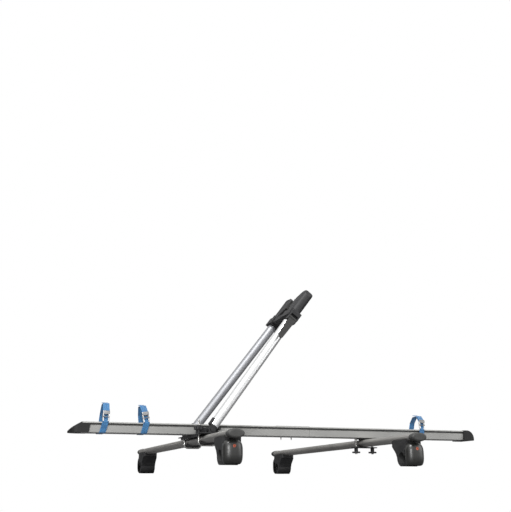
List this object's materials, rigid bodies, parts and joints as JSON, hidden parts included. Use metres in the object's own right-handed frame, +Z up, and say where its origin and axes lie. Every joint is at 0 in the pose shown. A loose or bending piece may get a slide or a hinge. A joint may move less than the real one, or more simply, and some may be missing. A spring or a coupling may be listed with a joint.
{
  "type": "roof mounted bicycle carrier",
  "caption": "Wheel tray and folding frame-clamp arm on two oval crossbars with lockable roof rail feet; straps hold the wheels.",
  "frame": {"origin": "centre of the footprint, on the plane that the four feet stand on", "axes": "+X along the wheel tray towards the rear wheel, +Y along the crossbars away from the tray, +Z up"},
  "size_m": [1.444, 1.2, 0.596],
  "materials": {
    "anodised_bar": "satin anodised",
    "silver_aluminium": "satin anodised",
    "zinc_steel": "zinc plated",
    "tube_aluminium": "brushed",
    "black_steel": "powder coat",
    "black_rubber": "matt",
    "blue_webbing": "woven",
    "buckle_metal": "plated",
    "black_alloy": "satin paint",
    "satin_black_plastic": "satin",
    "black_plastic": "fine grained"
  },
  "bodies": {
    "carrier": {"crossbar_front": "anodised_bar", "crossbar_rear": "anodised_bar", "bar_end_caps": "black_plastic", "rubber_pads": "black_rubber", "tray_front": "silver_aluminium", "tray_rear": "silver_aluminium", "tray_joiner": "silver_aluminium", "tray_joint_screws": "zinc_steel", "tray_cap_front": "black_plastic", "tray_cap_rear": "black_plastic", "base_bracket": "black_steel", "u_bolts": "zinc_steel", "lower_saddles": "black_plastic", "pivot_pins": "black_steel", "rear_clamp_plates": "black_steel", "rear_clamp_bolts": "zinc_steel", "wheel_strap_1": "blue_webbing", "wheel_strap_2": "blue_webbing", "wheel_strap_3": "blue_webbing", "strap_buckles": "buckle_metal", "foot_body_front_near": "black_plastic", "foot_body_front_far": "black_plastic", "foot_body_rear_near": "black_plastic", "foot_body_rear_far": "black_plastic"},
    "arm": {"arm_tube_near": "tube_aluminium", "arm_tube_far": "tube_aluminium", "arm_foot_near": "black_alloy", "arm_foot_far": "black_alloy", "head_rail": "black_alloy", "far_jaw": "black_plastic", "far_jaw_pad": "black_rubber", "tie_rod": "zinc_steel"},
    "sliding_jaw": {"near_jaw": "black_plastic", "near_jaw_pad": "black_rubber"},
    "lever": {"clamp_lever": "satin_black_plastic"},
    "knob_near_front": {"star_knob_near_front": "black_plastic"},
    "knob_near_rear": {"star_knob_near_rear": "black_plastic"},
    "knob_far_front": {"star_knob_far_front": "black_plastic"},
    "knob_far_rear": {"star_knob_far_rear": "black_plastic"},
    "hand_nut_front": {"rear_knob_front": "black_plastic"},
    "hand_nut_rear": {"rear_knob_rear": "black_plastic"},
    "rail_clamp_front_near": {"rail_jaw_front_near": "black_alloy", "jaw_bolt_front_near": "zinc_steel"},
    "cover_front_near": {"foot_cover_front_near": "satin_black_plastic"},
    "lock_front_near": {"foot_lock_front_near": "buckle_metal"},
    "rail_clamp_front_far": {"rail_jaw_front_far": "black_alloy", "jaw_bolt_front_far": "zinc_steel"},
    "cover_front_far": {"foot_cover_front_far": "satin_black_plastic"},
    "lock_front_far": {"foot_lock_front_far": "buckle_metal"},
    "rail_clamp_rear_near": {"rail_jaw_rear_near": "black_alloy", "jaw_bolt_rear_near": "zinc_steel"},
    "cover_rear_near": {"foot_cover_rear_near": "satin_black_plastic"},
    "lock_rear_near": {"foot_lock_rear_near": "buckle_metal"},
    "rail_clamp_rear_far": {"rail_jaw_rear_far": "black_alloy", "jaw_bolt_rear_far": "zinc_steel"},
    "cover_rear_far": {"foot_cover_rear_far": "satin_black_plastic"},
    "lock_rear_far": {"foot_lock_rear_far": "buckle_metal"},
    "cam_1": {"buckle_cam_1": "buckle_metal"},
    "cam_2": {"buckle_cam_2": "buckle_metal"},
    "cam_3": {"buckle_cam_3": "buckle_metal"}
  },
  "joints": [
    {"name": "arm_fold", "type": "hinge", "parent": "carrier", "child": "arm", "pos_m": [-0.2995, -0.23, 0.112], "axis": [0, 1, 0], "range_deg": [-40, 46]},
    {"name": "jaw_slide", "type": "slide", "parent": "arm", "child": "sliding_jaw", "axis": [0, -1, 0], "range_m": [0, 0.0276]},
    {"name": "lever_turn", "type": "hinge", "parent": "sliding_jaw", "child": "lever", "pos_m": [-0.01572, -0.3453, 0.48452], "axis": [-0.7955, 0, 0.606], "range_deg": [0, 120]},
    {"name": "knob_turn_near_front", "type": "hinge", "parent": "carrier", "child": "knob_near_front", "pos_m": [-0.3275, -0.314, 0.12], "axis": [0, 0, 1], "continuous": true},
    {"name": "knob_turn_near_rear", "type": "hinge", "parent": "carrier", "child": "knob_near_rear", "pos_m": [-0.2705, -0.314, 0.12], "axis": [0, 0, 1], "continuous": true},
    {"name": "knob_turn_far_front", "type": "hinge", "parent": "carrier", "child": "knob_far_front", "pos_m": [-0.3275, -0.146, 0.12], "axis": [0, 0, 1], "continuous": true},
    {"name": "knob_turn_far_rear", "type": "hinge", "parent": "carrier", "child": "knob_far_rear", "pos_m": [-0.2705, -0.146, 0.12], "axis": [0, 0, 1], "continuous": true},
    {"name": "hand_nut_turn_front", "type": "hinge", "parent": "carrier", "child": "hand_nut_front", "pos_m": [0.2645, -0.23, 0.062], "axis": [0, 0, 1], "continuous": true},
    {"name": "hand_nut_turn_rear", "type": "hinge", "parent": "carrier", "child": "hand_nut_rear", "pos_m": [0.3275, -0.23, 0.062], "axis": [0, 0, 1], "continuous": true},
    {"name": "rail_clamp_slide_front_near", "type": "slide", "parent": "carrier", "child": "rail_clamp_front_near", "axis": [0, -1, 0], "range_m": [0, 0.006]},
    {"name": "cover_pull_front_near", "type": "slide", "parent": "carrier", "child": "cover_front_near", "axis": [0, -1, 0], "range_m": [0, 0.03]},
    {"name": "lock_turn_front_near", "type": "hinge", "parent": "cover_front_near", "child": "lock_front_near", "pos_m": [-0.299, -0.5768, 0.052], "axis": [0, -1, 0], "range_deg": [0, 90]},
    {"name": "rail_clamp_slide_front_far", "type": "slide", "parent": "carrier", "child": "rail_clamp_front_far", "axis": [0, 1, 0], "range_m": [0, 0.006]},
    {"name": "cover_pull_front_far", "type": "slide", "parent": "carrier", "child": "cover_front_far", "axis": [0, 1, 0], "range_m": [0, 0.03]},
    {"name": "lock_turn_front_far", "type": "hinge", "parent": "cover_front_far", "child": "lock_front_far", "pos_m": [-0.299, 0.5768, 0.052], "axis": [0, 1, 0], "range_deg": [0, 90]},
    {"name": "rail_clamp_slide_rear_near", "type": "slide", "parent": "carrier", "child": "rail_clamp_rear_near", "axis": [0, -1, 0], "range_m": [0, 0.006]},
    {"name": "cover_pull_rear_near", "type": "slide", "parent": "carrier", "child": "cover_rear_near", "axis": [0, -1, 0], "range_m": [0, 0.03]},
    {"name": "lock_turn_rear_near", "type": "hinge", "parent": "cover_rear_near", "child": "lock_rear_near", "pos_m": [0.296, -0.5768, 0.052], "axis": [0, -1, 0], "range_deg": [0, 90]},
    {"name": "rail_clamp_slide_rear_far", "type": "slide", "parent": "carrier", "child": "rail_clamp_rear_far", "axis": [0, 1, 0], "range_m": [0, 0.006]},
    {"name": "cover_pull_rear_far", "type": "slide", "parent": "carrier", "child": "cover_rear_far", "axis": [0, 1, 0], "range_m": [0, 0.03]},
    {"name": "lock_turn_rear_far", "type": "hinge", "parent": "cover_rear_far", "child": "lock_rear_far", "pos_m": [0.296, 0.5768, 0.052], "axis": [0, 1, 0], "range_deg": [0, 90]},
    {"name": "cam_turn_1", "type": "hinge", "parent": "carrier", "child": "cam_1", "pos_m": [-0.61606, -0.26817, 0.15035], "axis": [0.991, -0.0269, -0.1312], "range_deg": [0, 100], "stiffness_Nm_per_rad": 0.01, "springref_deg": -17.19},
    {"name": "cam_turn_2", "type": "hinge", "parent": "carrier", "child": "cam_2", "pos_m": [-0.48619, -0.26817, 0.15035], "axis": [0.9886, 0.0302, 0.1472], "range_deg": [0, 100], "stiffness_Nm_per_rad": 0.01, "springref_deg": -17.19},
    {"name": "cam_turn_3", "type": "hinge", "parent": "carrier", "child": "cam_3", "pos_m": [0.50681, -0.26817, 0.15035], "axis": [0.9886, 0.0302, 0.1472], "range_deg": [0, 100], "stiffness_Nm_per_rad": 0.01, "springref_deg": -17.19}
  ],
  "couplings": [
    {"joint": "lever_turn", "follows": "jaw_slide", "rad_per_m": 74.85}
  ]
}
